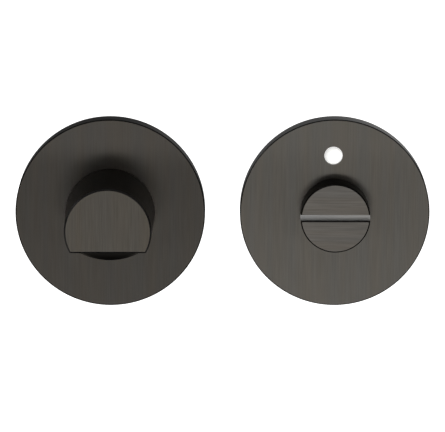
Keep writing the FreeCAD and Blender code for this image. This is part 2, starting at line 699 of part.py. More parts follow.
def bolt(name, across):
    """A pan-head screw through the door, with a cross recess."""
    body = new_body(name)
    seat = "Sizes.base_floor"
    top = "(Sizes.base_floor + Sizes.head_height)"
    end = "(Sizes.base_floor - Sizes.bolt_length)"
    shank = "(Sizes.bolt_diameter / 2)"
    thread = "(Sizes.bolt_thread / 2)"
    step = "(Sizes.base_floor - Sizes.bolt_plain)"
    head = "(Sizes.head_diameter / 2)"
    section = new_sketch(body, f"{name}_section", "XZ_Plane")
    add_outline(section, [
        ("0", end),
        (f"{thread} - Sizes.bolt_tip", end),
        (thread, f"{end} + Sizes.bolt_tip"),
        (thread, step),
        (shank, step),
        (shank, seat),
        (head, seat),
        (head, top),
        ("0", top),
    ])
    turned = revolve(body, f"{name}_blank", section)
    trim(body, "Fillet", f"{name}_crown", turned, circles_at(turned, head, top), "Sizes.head_dome")
    for direction, across_x, across_y in (
        ("wide", "Sizes.recess_span", "Sizes.recess_width"),
        ("tall", "Sizes.recess_width", "Sizes.recess_span"),
    ):
        wing = new_sketch(body, f"{name}_{direction}_wing", "XY_Plane", top)
        add_rectangle(wing, across_x, across_y)
        pocket(body, f"{name}_{direction}_recess", wing, "Sizes.recess_depth", forwards=False)
    return faces_viewer(body, across)


def sleeve(name, across):
    """A threaded sleeve whose hexagon head sits in the release base and takes a bolt from the far side."""
    body = new_body(name)
    seat = "Sizes.base_floor"
    head = new_sketch(body, f"{name}_head_outline", "XY_Plane", seat)
    add_hexagon(head, "Sizes.sleeve_head")
    pad(body, f"{name}_head", head, "Sizes.sleeve_head_height")
    end = "(Sizes.base_floor - Sizes.sleeve_length)"
    outline = new_sketch(body, f"{name}_outline", "XY_Plane", end)
    add_circle(outline, "outside", "Sizes.sleeve_diameter")
    tube = pad(body, f"{name}_tube", outline, "Sizes.sleeve_length")
    edge = circles_at(tube, "Sizes.sleeve_diameter / 2", end)
    trim(body, "Chamfer", f"{name}_end", tube, edge, "Sizes.sleeve_bevel")
    core = new_sketch(body, f"{name}_core_circle", "XY_Plane", end)
    add_circle(core, "core", "Sizes.sleeve_core")
    pocket(body, f"{name}_core", core, "Sizes.sleeve_length + Sizes.sleeve_head_height")
    return faces_viewer(body, across)


def add_double_flat(sketch, radius, width):
    """A round hole with two flats, facing along x, the given width apart."""
    half = value(f"({width}) / 2")
    reach = value(radius)
    angle = value(f"acos(({width}) / (2 * ({radius}))) / (1 rad)")
    height = (reach**2 - half**2) ** 0.5
    half_turn = value("pi")
    centre = FreeCAD.Vector(0, 0, 0)
    circle = Part.Circle(centre, FreeCAD.Vector(0, 0, 1), reach)
    top = sketch.addGeometry(Part.ArcOfCircle(circle, angle, half_turn - angle), False)
    left = sketch.addGeometry(
        Part.LineSegment(FreeCAD.Vector(-half, height, 0), FreeCAD.Vector(-half, -height, 0)), False)
    low = sketch.addGeometry(Part.ArcOfCircle(circle, half_turn + angle, 2 * half_turn - angle), False)
    right = sketch.addGeometry(
        Part.LineSegment(FreeCAD.Vector(half, -height, 0), FreeCAD.Vector(half, height, 0)), False)
    for arc, name in ((top, "top_radius"), (low, "low_radius")):
        sketch.addConstraint(Sketcher.Constraint("Coincident", arc, 3, -1, 1))
        bound(sketch, name, Sketcher.Constraint("Radius", arc, reach), radius)
    sketch.addConstraint(Sketcher.Constraint("Coincident", top, 2, left, 1))
    sketch.addConstraint(Sketcher.Constraint("Coincident", left, 2, low, 1))
    sketch.addConstraint(Sketcher.Constraint("Coincident", low, 2, right, 1))
    sketch.addConstraint(Sketcher.Constraint("Coincident", right, 2, top, 1))
    for line, name, sign in ((left, "left_flat", "-"), (right, "right_flat", "")):
        sketch.addConstraint(Sketcher.Constraint("Vertical", line))
        offset = f"{sign}({width}) / 2"
        bound(sketch, name, Sketcher.Constraint("DistanceX", -1, 1, line, 1, value(offset)), offset)


def indicator_plate():
    """A white moulded fan on the stem's flats: its two fields lie a quarter turn apart."""
    body = new_body("indicator_plate")
    outline = new_sketch(body, "hub_circle", "XY_Plane", HUB_BACK)
    add_circle(outline, "hub", f"2 * ({PLATE_INNER} + Sizes.plate_overlap)")
    pad(body, "hub", outline, "Sizes.plate_hub")
    fan_outline = new_sketch(body, "fan_outline", "XY_Plane", f"{FAN_FRONT} - Sizes.plate_fan")
    add_sector(fan_outline, PLATE_INNER, PLATE_RADIUS, "-Sizes.plate_margin", "90 + Sizes.plate_margin")
    pad(body, "fan", fan_outline, "Sizes.plate_fan")
    opening = new_sketch(body, "plate_hole_outline", "XY_Plane", HUB_BACK)
    add_double_flat(opening, f"{STEM_RADIUS} + Sizes.plate_fit", "(Sizes.flats_width + 2 * Sizes.plate_fit)")
    pocket(body, "plate_hole", opening, "Sizes.plate_hub")
    return faces_viewer(body, RELEASE)


def red_label():
    """The red field, at rest a quarter turn clockwise of the hole."""
    body = new_body("indicator_red_label")
    outline = new_sketch(body, "label_outline", "XY_Plane", FAN_FRONT)
    inner = f"({PLATE_INNER} + Sizes.label_inset)"
    outer = f"({PLATE_RADIUS} - Sizes.label_inset)"
    turn = f"(Sizes.plate_margin - Sizes.label_inset * 180 / (pi * {PLATE_RADIUS}))"
    add_sector(outline, inner, outer, f"-{turn}", turn)
    pad(body, "label", outline, "Sizes.label_sheet")
    return faces_viewer(body, RELEASE)


pieces = [
    cover_rose("turn_rose", "0", with_indicator=False),
    bush("turn_bush", "0"),
    thumb_turn(),
    disc_spring("turn_spring_washer", "0", FLANGE_BACK),
    retaining_ring("turn_circlip", "0", "turn"),
    spindle(),
    grub_screw(),
    moulded_base("turn_base", "0", "bolts"),
    bolt("turn_bolt_left", f"-{BOLT_REACH}"),
    bolt("turn_bolt_right", BOLT_REACH),
    cover_rose("release_rose", RELEASE, with_indicator=True),
    bush("release_bush", RELEASE),
    release_disc(),
    disc_spring("release_spring_washer", RELEASE, HUB_BACK),
    retaining_ring("release_circlip", RELEASE, "release"),
    indicator_plate(),
    red_label(),
    moulded_base("release_base", RELEASE, "sleeves"),
    sleeve("release_sleeve_left", f"{RELEASE} - {BOLT_REACH}"),
    sleeve("release_sleeve_right", f"{RELEASE} + {BOLT_REACH}"),
]
doc.recompute()

for item in doc.Objects:
    if "Invalid" in item.State or "Error" in item.State:
        raise RuntimeError(f"{item.Label} could not be worked out")
for item in doc.Objects:
    if item.TypeId == "Sketcher::SketchObject" and not item.FullyConstrained:
        raise RuntimeError(f"{item.Label} is not fully constrained")
for piece in pieces:
    shape = piece.Shape
    if shape.isNull() or not shape.isValid() or len(shape.Solids) != 1:
        raise RuntimeError(f"{piece.Label} is not one sound solid")

os.makedirs("parts", exist_ok=True)
for piece in pieces:
    piece.Shape.exportStep(f"parts/{piece.Label}.step")
    print(f"{piece.Label}: {piece.Shape.Volume:.1f} mm3")
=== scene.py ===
# %% [markdown]
# # A bathroom thumb turn lock in brushed dark bronze
# The lock's furniture comes in two halves. The left one carries the thumb turn and the right one a
# raised disc with a coin slot and a small window that shows white or red. This lesson takes the solids
# of the construction as they are, gives each one the finish that the real piece has, and models the
# threaded fasteners anew, because a thread is what the plain solids lack.

# %% Load the frame
import math

import bmesh
import bpy
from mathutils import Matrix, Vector


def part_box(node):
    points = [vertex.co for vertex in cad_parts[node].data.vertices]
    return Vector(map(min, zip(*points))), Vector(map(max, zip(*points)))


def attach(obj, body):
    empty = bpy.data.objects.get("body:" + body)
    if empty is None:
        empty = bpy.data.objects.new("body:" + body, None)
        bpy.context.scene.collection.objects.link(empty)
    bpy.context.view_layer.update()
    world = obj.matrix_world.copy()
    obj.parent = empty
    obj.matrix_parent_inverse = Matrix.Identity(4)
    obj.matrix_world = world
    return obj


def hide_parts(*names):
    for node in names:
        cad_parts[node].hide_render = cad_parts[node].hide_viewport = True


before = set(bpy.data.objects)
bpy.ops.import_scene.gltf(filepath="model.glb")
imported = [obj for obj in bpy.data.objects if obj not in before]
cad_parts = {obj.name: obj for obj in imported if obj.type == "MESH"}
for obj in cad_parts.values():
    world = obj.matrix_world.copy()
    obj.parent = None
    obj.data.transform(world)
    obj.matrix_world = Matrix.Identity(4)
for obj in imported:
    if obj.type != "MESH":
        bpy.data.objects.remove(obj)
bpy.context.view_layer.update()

# %% [markdown]
# ## Places to work from
# All further places come from the boxes of the solids, so nothing here has to be fitted by eye. One
# millimetre is a handy unit, because Blender counts in metres.

# %% Read the main places
MM = 0.001


def middle(node, axis):
    """The middle of a solid's box along an axis, 0 for x, 1 for y and 2 for z."""
    low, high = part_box(node)
    return (low[axis] + high[axis]) / 2


TURN_X = middle("turn_rose", 0)
RELEASE_X = middle("release_rose", 0)
ROSE_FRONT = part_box("turn_rose")[0].y
ROSE_RADIUS = (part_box("turn_rose")[1].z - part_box("turn_rose")[0].z) / 2
KNOB_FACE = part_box("thumb_turn")[0].y
DISC_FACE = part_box("release_disc")[0].y
print("axes at x =", round(TURN_X / MM, 2), "and", round(RELEASE_X / MM, 2), "mm")
print("the knob's face stands", round((ROSE_FRONT - KNOB_FACE) / MM, 2), "mm in front of the rose")

# %% [markdown]
# ## The camera
# The photograph was taken from about a metre away with a long lens, from a little above: the face of
# the thumb turn sits lower in the picture than its rose by the sine of that angle times its reach. A
# close camera with a short lens would show the round sides of the knob too strongly. So the distance is
# kept, and the lens is as long as the size of the roses in the picture asks.

# %% Place the camera
ELEVATION = math.radians(12.0)
DISTANCE = 1.06
FOCAL_LENGTH = 313.0
SIGHT_LINE_DROP = 0.85 * MM

aim = ((TURN_X + RELEASE_X) / 2, ROSE_FRONT, -SIGHT_LINE_DROP)
camera_data = bpy.data.cameras.new("camera")
camera_data.lens = FOCAL_LENGTH
camera_data.clip_start = 0.01
camera_data.clip_end = 50.0
camera = bpy.data.objects.new("camera", camera_data)
camera.location = (
    aim[0],
    aim[1] - DISTANCE * math.cos(ELEVATION),
    aim[2] + DISTANCE * math.sin(ELEVATION),
)
camera.rotation_euler = (math.radians(90.0) - ELEVATION, 0.0, 0.0)
bpy.context.scene.collection.objects.link(camera)
bpy.context.scene.camera = camera
bpy.context.scene.view_settings.view_transform = "Standard"
print("the camera stands at", [round(c, 3) for c in camera.location])

# %% [markdown]
# ## Small helpers for node trees
# A material is a tree of nodes. Typing every node and link by hand is slow to read, so a few small
# functions add a node, join two sockets, do a sum or mix two values.

# %% Node helpers


def add(tree, kind, **settings):
    """A new node of a kind, with settings given by name."""
    made = tree.nodes.new(kind)
    for name, value in settings.items():
        setattr(made, name, value)
    return made


def join(tree, source, target):
    """Links an output to an input, or writes a plain number or colour into the input."""
    if isinstance(source, bpy.types.NodeSocket):
        tree.links.new(source, target)
    else:
        target.default_value = source


def sums(tree, operation, first, second=0.0):
    """One Math node, whose inputs are sockets or numbers."""
    made = add(tree, "ShaderNodeMath", operation=operation)
    join(tree, first, made.inputs[0])
    join(tree, second, made.inputs[1])
    return made.outputs[0]


def diagonal(tree, first, second):
    """The length of the diagonal of two numbers."""
    squares = [sums(tree, "MULTIPLY", number, number) for number in (first, second)]
    return sums(tree, "SQRT", sums(tree, "ADD", *squares))


def between(tree, value, low, high):
    """A soft step: 0 below low, 1 above high, smooth in between."""
    made = add(tree, "ShaderNodeMapRange", interpolation_type="SMOOTHSTEP")
    join(tree, value, made.inputs["Value"])
    made.inputs["From Min"].default_value = low
    made.inputs["From Max"].default_value = high
    return made.outputs["Result"]


def blended(tree, mask, below, above):
    """One colour where the mask is 0 and another where it is 1."""
    made = add(tree, "ShaderNodeMix", data_type="RGBA")
    join(tree, mask, made.inputs["Factor"])
    join(tree, below, made.inputs[6])
    join(tree, above, made.inputs[7])
    return made.outputs[2]


def either(tree, mask, below, above):
    """One number where the mask is 0 and another where it is 1."""
    made = add(tree, "ShaderNodeMix", data_type="FLOAT")
    join(tree, mask, made.inputs["Factor"])
    join(tree, below, made.inputs[2])
    join(tree, above, made.inputs[3])
    return made.outputs[0]


def scaled(tree, vector, factor):
    """A vector or colour times a number."""
    made = add(tree, "ShaderNodeVectorMath", operation="SCALE")
    join(tree, vector, made.inputs[0])
    join(tree, factor, made.inputs["Scale"])
    return made.outputs[0]


def seen(red, green, blue):
    """The linear colour, with alpha, of a colour read from a picture as 0 to 255."""
    linear = [((c / 255 + 0.055) / 1.055) ** 2.4 if c > 10 else c / 255 / 12.92 for c in (red, green, blue)]
    return (*linear, 1.0)


def new_group(name, inputs, outputs):
    """An empty node group with named sockets, and its input and output nodes."""
    tree = bpy.data.node_groups.new(name, "ShaderNodeTree")
    for label, kind, start in inputs:
        socket = tree.interface.new_socket(label, in_out="INPUT", socket_type=kind)
        if start is not None:
            socket.default_value = start
    for label, kind in outputs:
        tree.interface.new_socket(label, in_out="OUTPUT", socket_type=kind)
    return tree, add(tree, "NodeGroupInput"), add(tree, "NodeGroupOutput")


def new_material(name):
    """An empty material, its tree and its Principled shader."""
    made = bpy.data.materials.new(name)
    made.use_nodes = True
    return made, made.node_tree, made.node_tree.nodes["Principled BSDF"]


def roughened(tree, shader, height, distance, strength):
    """Feeds a height to the shader's normal through a Bump node."""
    bump = add(tree, "ShaderNodeBump")
    bump.inputs["Strength"].default_value = strength
    bump.inputs["Distance"].default_value = distance
    join(tree, height, bump.inputs["Height"])
    join(tree, bump.outputs["Normal"], shader.inputs["Normal"])


# %% [markdown]
# ## Brushed metal
# A belt with fine grit leaves thousands of parallel scratches. Each one is a few hundredths of a
# millimetre wide and many millimetres long. A noise that is squeezed across the scratches and drawn out
# along them gives that, and costs no geometry. Three sizes are used: hair-fine lines that only roughen
# the surface, wider streaks, which are what the eye sees from a step away, and broad bands in which the
# plating is a little warmer or cooler.

# %% A node group for brushing
brush_tree, brush_in, brush_out = new_group(
    "brush lines",
    [
        ("Across", "NodeSocketFloat", 0.0),
        ("Along", "NodeSocketFloat", 0.0),
        ("Depth", "NodeSocketFloat", 0.0),
        ("Line width", "NodeSocketFloat", 0.00008),
        ("Line length", "NodeSocketFloat", 0.0025),
    ],
    [("Lines", "NodeSocketFloat"), ("Streaks", "NodeSocketFloat"), ("Bands", "NodeSocketFloat")],
)


def brush_layer(scale, detail):
    """Noise drawn out along the scratches, at a multiple of the line's width and length."""
    place = add(brush_tree, "ShaderNodeCombineXYZ")
    width = sums(brush_tree, "MULTIPLY", brush_in.outputs["Line width"], scale)
    length = sums(brush_tree, "MULTIPLY", brush_in.outputs["Line length"], scale)
    join(brush_tree, sums(brush_tree, "DIVIDE", brush_in.outputs["Across"], width), place.inputs["X"])
    join(brush_tree, sums(brush_tree, "DIVIDE", brush_in.outputs["Along"], length), place.inputs["Y"])
    join(brush_tree, sums(brush_tree, "DIVIDE", brush_in.outputs["Depth"], length), place.inputs["Z"])
    noise = add(brush_tree, "ShaderNodeTexNoise")
    noise.inputs["Scale"].default_value = 1.0
    noise.inputs["Detail"].default_value = detail
    join(brush_tree, place.outputs["Vector"], noise.inputs["Vector"])
    return noise.outputs["Fac"]


join(brush_tree, brush_layer(1.0, 2.0), brush_out.inputs["Lines"])
join(brush_tree, brush_layer(4.0, 3.0), brush_out.inputs["Streaks"])
join(brush_tree, brush_layer(60.0, 2.0), brush_out.inputs["Bands"])
print("brushing group with", len(brush_tree.nodes), "nodes")

# %% [markdown]
# ## Dark bronze plating
# The pieces are brass with a dark bronze plating under a satin lacquer, brushed on the flat faces and
# the round sides. The narrow bevels are painted much darker, a painted reflection of the dark room that
# draws a thin dark line round each face. The knob's hollow, which faces down, is painted darker as
# painted shade. The floor of the disc's slot is painted pale, a painted highlight, and the upper part of
# each rose is painted lighter, painted light. So the finish asks of each point which way it faces:
# towards the viewer, sideways or in between. The scratches also spread a reflection across themselves
# and hardly at all along themselves, which is what the shader's anisotropy and its tangent are for. The
# roughness stays just above 0.27. On smoother metal the denoiser takes the fine streaks for noise and
# wipes them out.

# %% Masks of a bronze piece


def place_on(tree, centre_x):
    """The point's x from the piece's axis, its y and z, and how squarely it faces forwards."""
    place = add(tree, "ShaderNodeTexCoord")
    point = add(tree, "ShaderNodeSeparateXYZ")
    join(tree, place.outputs["Object"], point.inputs[0])
    facing = add(tree, "ShaderNodeSeparateXYZ")
    join(tree, place.outputs["Normal"], facing.inputs[0])
    x = sums(tree, "SUBTRACT", point.outputs["X"], centre_x)
    forward = sums(tree, "MULTIPLY", facing.outputs["Y"], -1.0)
    return x, point.outputs["Y"], point.outputs["Z"], forward


def brushed(tree, across, along, depth=0.0):
    """The brushing group, told which way is across the scratches and which is along them."""
    lines = add(tree, "ShaderNodeGroup", node_tree=brush_tree)
    join(tree, across, lines.inputs["Across"])
    join(tree, along, lines.inputs["Along"])
    join(tree, depth, lines.inputs["Depth"])
    return lines


def sunk(tree, y, level):
    """1 where a point lies deeper than a level by a tenth of a millimetre or more."""
    return between(tree, y, level, level + 0.1 * MM)


# %% The bronze material
WARMER = (1.02, 1.00, 0.97, 1.0)
COOLER = (0.98, 1.00, 1.02, 1.0)
# Painted shade: the bevels are near black for the dark room they reflect.
BEVEL_SHADE_COLOUR = seen(14, 13, 12)

# Each pair tells where a change begins and where it is complete. Facing is 1 towards the viewer and 0
# sideways.
FACE_FACING = (0.86, 0.96)
BEVEL_FACING = (0.35, 0.60)
BAND_CHANGE = (0.35, 0.65)
# Painted light: between these heights the upper part of a rose turns lighter.
LIT_UPPER_PART = (0.48 * ROSE_RADIUS, 0.78 * ROSE_RADIUS)

SATIN_ROUGHNESS = 0.275
LINE_ROUGHNESS = 0.04
HOLLOW_ROUGHNESS = 0.25
LINE_DEPTH = 0.003 * MM
SOFT_RIM = 0.1 * MM


def bronze(name, face, side, centre_x, upright=True, tint=1.0, bevel_shade=BEVEL_SHADE_COLOUR,
           slot_floor_highlight=None, hollow_shade=None, painted_top_light=0.0, streak=0.35):
    """Dark plated brass about an axis along y: a brushed face, round sides and bevels with painted shade.
    """
    made, tree, shader = new_material(name)
    x, y, z, forward = place_on(tree, centre_x)
    is_face = between(tree, forward, *FACE_FACING)
    is_shaded_bevel = between(tree, forward, *BEVEL_FACING)
    face_lines = brushed(tree, x if upright else z, z if upright else x, y)
    around = sums(tree, "MULTIPLY", sums(tree, "ARCTAN2", z, x), ROSE_RADIUS)
    side_lines = brushed(tree, y, around)
    lines, streaks, bands = (
        either(tree, is_face, side_lines.outputs[kind], face_lines.outputs[kind])
        for kind in ("Lines", "Streaks", "Bands")
    )

    # Painted shade: the bevels take the much darker bevel colour, a dark line round each face.
    colour = blended(tree, is_face, blended(tree, is_shaded_bevel, side, bevel_shade), face)
    # Painted highlight: the floor of the slot is painted pale.
    if slot_floor_highlight:
        level, floor_highlight_colour = slot_floor_highlight
        is_lit_floor = sums(tree, "MULTIPLY", sunk(tree, y, level), is_face)
        colour = blended(tree, is_lit_floor, colour, floor_highlight_colour)
    rough = sums(tree, "ADD", SATIN_ROUGHNESS, sums(tree, "MULTIPLY", lines, LINE_ROUGHNESS))
    # Painted shade: the knob's hollow is painted darker, and its roughness is raised.
    if hollow_shade:
        level, reach, hollow_shade_colour = hollow_shade
        outside = between(tree, diagonal(tree, x, z), reach - SOFT_RIM, reach)
        inside = sums(tree, "SUBTRACT", 1.0, outside)
        is_shaded_hollow = sums(tree, "MULTIPLY", sunk(tree, y, level), inside)
        colour = blended(tree, is_shaded_hollow, colour, hollow_shade_colour)
        rough = sums(tree, "ADD", rough, sums(tree, "MULTIPLY", is_shaded_hollow, HOLLOW_ROUGHNESS))
    tone = sums(tree, "MULTIPLY_ADD", sums(tree, "SUBTRACT", streaks, 0.5), streak)
    tone.node.inputs[2].default_value = 1.0
    # Painted light: the upper part of the rose is painted lighter.
    if painted_top_light:
        tone = sums(tree, "ADD", tone, sums(tree, "MULTIPLY", between(tree, z, *LIT_UPPER_PART), painted_top_light))
    hue = add(tree, "ShaderNodeVectorMath", operation="MULTIPLY")
    join(tree, scaled(tree, colour, tone), hue.inputs[0])
    join(tree, blended(tree, between(tree, bands, *BAND_CHANGE), WARMER, COOLER), hue.inputs[1])
    join(tree, hue.outputs[0], shader.inputs["Base Color"])
    join(tree, rough, shader.inputs["Roughness"])
    shader.inputs["Metallic"].default_value = 1.0
    shader.inputs["Specular Tint"].default_value = (tint, tint, tint, 1.0)
    shader.inputs["Anisotropic"].default_value = 1.0
    blur = add(tree, "ShaderNodeVectorTransform", vector_type="VECTOR",
               convert_from="OBJECT", convert_to="WORLD")
    blur.inputs[0].default_value = (1.0, 0.0, 0.0) if upright else (0.0, 0.0, 1.0)
    join(tree, blur.outputs[0], shader.inputs["Tangent"])
    roughened(tree, shader, lines, LINE_DEPTH, 0.10)
    return made


# Painted highlight: the floor of the disc's slot is painted pale.
slot_floor_highlight = (DISC_FACE + 1.0 * MM, seen(126, 125, 123))
# Painted shade: the knob's hollow is painted darker than its face.
knob_hollow_shade = (KNOB_FACE + 0.6 * MM, 11.5 * MM, seen(50, 51, 45))
# The turn rose's bronze is set darker than the release rose's.
bronzes = {
    "turn_rose": bronze("turn rose bronze", seen(70, 67, 63), seen(70, 67, 64), TURN_X, tint=0.45,
                        bevel_shade=seen(20, 19, 18), painted_top_light=0.27),
    "thumb_turn": bronze("thumb turn bronze", seen(83, 79, 73), seen(84, 81, 77), TURN_X, tint=1.0,
                         bevel_shade=seen(30, 29, 28), hollow_shade=knob_hollow_shade, streak=0.6),
    "release_rose": bronze("release rose bronze", seen(92, 89, 84), seen(88, 85, 81), RELEASE_X,
                           bevel_shade=seen(34, 33, 32), painted_top_light=0.10),
    "release_disc": bronze("release disc bronze", seen(79, 76, 72), seen(64, 61, 59), RELEASE_X,
                           upright=False, tint=0.5, slot_floor_highlight=slot_floor_highlight, streak=0.8),
}
for node_name, finish in bronzes.items():
    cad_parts[node_name].material_slots[0].material = finish
    print(node_name, "gets", finish.name)

# %% [markdown]
# ## Plastics and small steel parts
# Nylon comes out of the mould with a fine matt grain. Sheet springs and rings are oiled steel with faint
# marks of handling. Turned pieces keep the fine rings of the cutting tool. None of these shows from the
# front, but they do from the sides and the back, so each has its own finish.

# %% A node group for moulded grain
grain_tree, grain_in, grain_out = new_group(
    "moulded grain",
    [("Place", "NodeSocketVector", None), ("Size", "NodeSocketFloat", 0.00025)],
    [("Grain", "NodeSocketFloat"), ("Cloud", "NodeSocketFloat")],
)


def grain_layer(scale, detail):
    """Even noise at a multiple of the grain's size."""
    size = sums(grain_tree, "MULTIPLY", grain_in.outputs["Size"], scale)
    shrunk = scaled(grain_tree, grain_in.outputs["Place"], sums(grain_tree, "DIVIDE", 1.0, size))
    noise = add(grain_tree, "ShaderNodeTexNoise")
    noise.inputs["Scale"].default_value = 1.0
    noise.inputs["Detail"].default_value = detail
    join(grain_tree, shrunk, noise.inputs["Vector"])
    return noise.outputs["Fac"]


join(grain_tree, grain_layer(1.0, 2.0), grain_out.inputs["Grain"])
join(grain_tree, grain_layer(30.0, 3.0), grain_out.inputs["Cloud"])
print("grain group with", len(grain_tree.nodes), "nodes")


# %% Finishes for plastic and for turned metal
GRAIN_ROUGHNESS = 0.10
RING_ROUGHNESS = 0.12
RING_RADIUS = 4 * MM


def grained(tree):
    """The grain group at the point's place."""
    grain = add(tree, "ShaderNodeGroup", node_tree=grain_tree)
    join(tree, add(tree, "ShaderNodeTexCoord").outputs["Object"], grain.inputs["Place"])
    return grain


def moulded(name, dark, pale, roughness, bump_height=0.01 * MM, painted_glow=0.0):
    """Moulded plastic: a fine grain, a faint cloudiness between two near colours and a painted glow."""
    made, tree, shader = new_material(name)
    grain = grained(tree)
    join(tree, blended(tree, grain.outputs["Cloud"], dark, pale), shader.inputs["Base Color"])
    uneven = sums(tree, "MULTIPLY", grain.outputs["Grain"], GRAIN_ROUGHNESS)
    join(tree, sums(tree, "ADD", roughness - GRAIN_ROUGHNESS / 2, uneven), shader.inputs["Roughness"])
    roughened(tree, shader, grain.outputs["Grain"], bump_height, 0.4)
    shader.inputs["Emission Color"].default_value = pale
    shader.inputs["Emission Strength"].default_value = painted_glow
    return made


def turned(name, dark, pale, roughness, centre_x):
    """Metal with fine tool rings about an axis along y, and clouds of handling."""
    made, tree, shader = new_material(name)
    x, y, z = place_on(tree, centre_x)[:3]
    around = sums(tree, "MULTIPLY", sums(tree, "ARCTAN2", z, x), RING_RADIUS)
    rings = brushed(tree, sums(tree, "ADD", diagonal(tree, x, z), y), around)
    join(tree, blended(tree, grained(tree).outputs["Cloud"], dark, pale), shader.inputs["Base Color"])
    uneven = sums(tree, "MULTIPLY", rings.outputs["Lines"], RING_ROUGHNESS)
    join(tree, sums(tree, "ADD", roughness - RING_ROUGHNESS / 2, uneven), shader.inputs["Roughness"])
    shader.inputs["Metallic"].default_value = 1.0
    roughened(tree, shader, rings.outputs["Lines"], LINE_DEPTH, 0.3)
    return made


black_nylon = moulded("black nylon", (0.026, 0.026, 0.028, 1), (0.038, 0.038, 0.040, 1), 0.50)
bush_nylon = moulded("bush nylon", (0.035, 0.035, 0.034, 1), (0.055, 0.055, 0.052, 1), 0.45)
# The white acetal has a painted glow, so the plate in its recess shows evenly white.
white_acetal = moulded("white acetal", (0.90, 0.90, 0.88, 1), (0.95, 0.95, 0.93, 1), 0.35, 0.004 * MM, 0.42)
red_film = moulded("red film", (0.50, 0.010, 0.012, 1), (0.58, 0.016, 0.016, 1), 0.25, 0.002 * MM)
zinc_colours = ((0.40, 0.40, 0.42, 1), (0.50, 0.50, 0.51, 1))
oiled_colours = ((0.10, 0.10, 0.11, 1), (0.17, 0.16, 0.15, 1))
plain_finishes = {
    "turn_base": black_nylon,
    "release_base": black_nylon,
    "turn_bush": bush_nylon,
    "release_bush": bush_nylon,
    "indicator_plate": white_acetal,
    "indicator_red_label": red_film,
    "spindle": turned("zinc plated steel", *zinc_colours, 0.36, TURN_X),
}
for half, centre_x in (("turn", TURN_X), ("release", RELEASE_X)):
    oiled = turned(f"{half} spring steel", *oiled_colours, 0.30, centre_x)
    plain_finishes[f"{half}_spring_washer"] = oiled
    plain_finishes[f"{half}_circlip"] = oiled
for node_name, finish in plain_finishes.items():
    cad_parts[node_name].material_slots[0].material = finish
print(len(plain_finishes), "more solids have their finish")

# %% [markdown]
# ## Threads
# A thread is a ridge that climbs round a core by one pitch per turn. By hand it is made like this: lay a
# small square on its side, pinch its outer edge to the width of the crest, push it out to the thread's
# radius, and let the Screw modifier carry it round. The two open ends are filled. Joined to a core, the
# ridge makes an outside thread, and taken out of a hole it makes an inside one. Last, the blank's own
# bevelled shape trims the ends, as the thread runs out on a real screw. Joining and cutting leaves some
# corners so close together that they are one corner in all but name. These are merged at the end, and
# the faces are split into triangles.

# %% Helpers for modelling
PITCH = 0.7 * MM
THREAD_DEPTH = 0.6134 * PITCH
RIDGE_WIDTH = 0.86 * PITCH
CREST_SHARE = 0.16
BOLT_RADIUS = 2.0 * MM
CREST_RADIUS = 1.95 * MM
ROOT_RADIUS = CREST_RADIUS - THREAD_DEPTH
STEPS_PER_TURN = 32
OVERLAP = 0.05 * MM
FINE_SIDES = 96
ORIGIN = (0.0, 0.0, 0.0)
SAME_PLACE = 0.002 * MM


def deselect():
    """Nothing selected, so that the next operator acts only on what is made after this."""
    if bpy.context.object and bpy.context.object.mode != "OBJECT":
        bpy.ops.object.mode_set(mode="OBJECT")
    bpy.ops.object.select_all(action="DESELECT")


def pick(part, test, kind="verts"):
    """Selects, in edit mode, the vertices or edges whose middle passes a test."""
    bpy.ops.mesh.select_mode(type="VERT" if kind == "verts" else "EDGE")
    bpy.ops.mesh.select_all(action="DESELECT")
    mesh = bmesh.from_edit_mesh(part.data)
    for item in getattr(mesh, kind):
        corners = [item.co] if kind == "verts" else [corner.co for corner in item.verts]
        if test(sum(corners, Vector()) / len(corners)):
            item.select_set(True)
    mesh.select_flush(True)
    bmesh.update_edit_mesh(part.data)


def meet(part, tool, operation):
    """Cuts a part with a tool, joins them or keeps what both share, and removes the tool."""
    deselect()
    part.select_set(True)
    bpy.context.view_layer.objects.active = part
    boolean = part.modifiers.new("meet", "BOOLEAN")
    boolean.operation = operation
    boolean.object = tool
    bpy.ops.object.modifier_apply(modifier=boolean.name)
    bpy.data.objects.remove(tool)
    return part


def bar(radius, low, high, sides=64, bevel_low=0.0, bevel_high=0.0, segments=1):
    """A round or many-sided bar along z from low to high, with either end bevelled or rounded."""
    deselect()
    bpy.ops.mesh.primitive_cylinder_add(
        vertices=sides, radius=radius, depth=high - low, location=(0.0, 0.0, (low + high) / 2))
    made = bpy.context.object
    bpy.ops.object.transform_apply()
    for end, amount in ((low, bevel_low), (high, bevel_high)):
        if amount:
            bpy.ops.object.mode_set(mode="EDIT")
            pick(made, lambda middle: abs(middle.z - end) < 0.01 * MM, "edges")
            bpy.ops.mesh.bevel(offset=amount, segments=segments, affect="EDGES")
            bpy.ops.object.mode_set(mode="OBJECT")
    return made


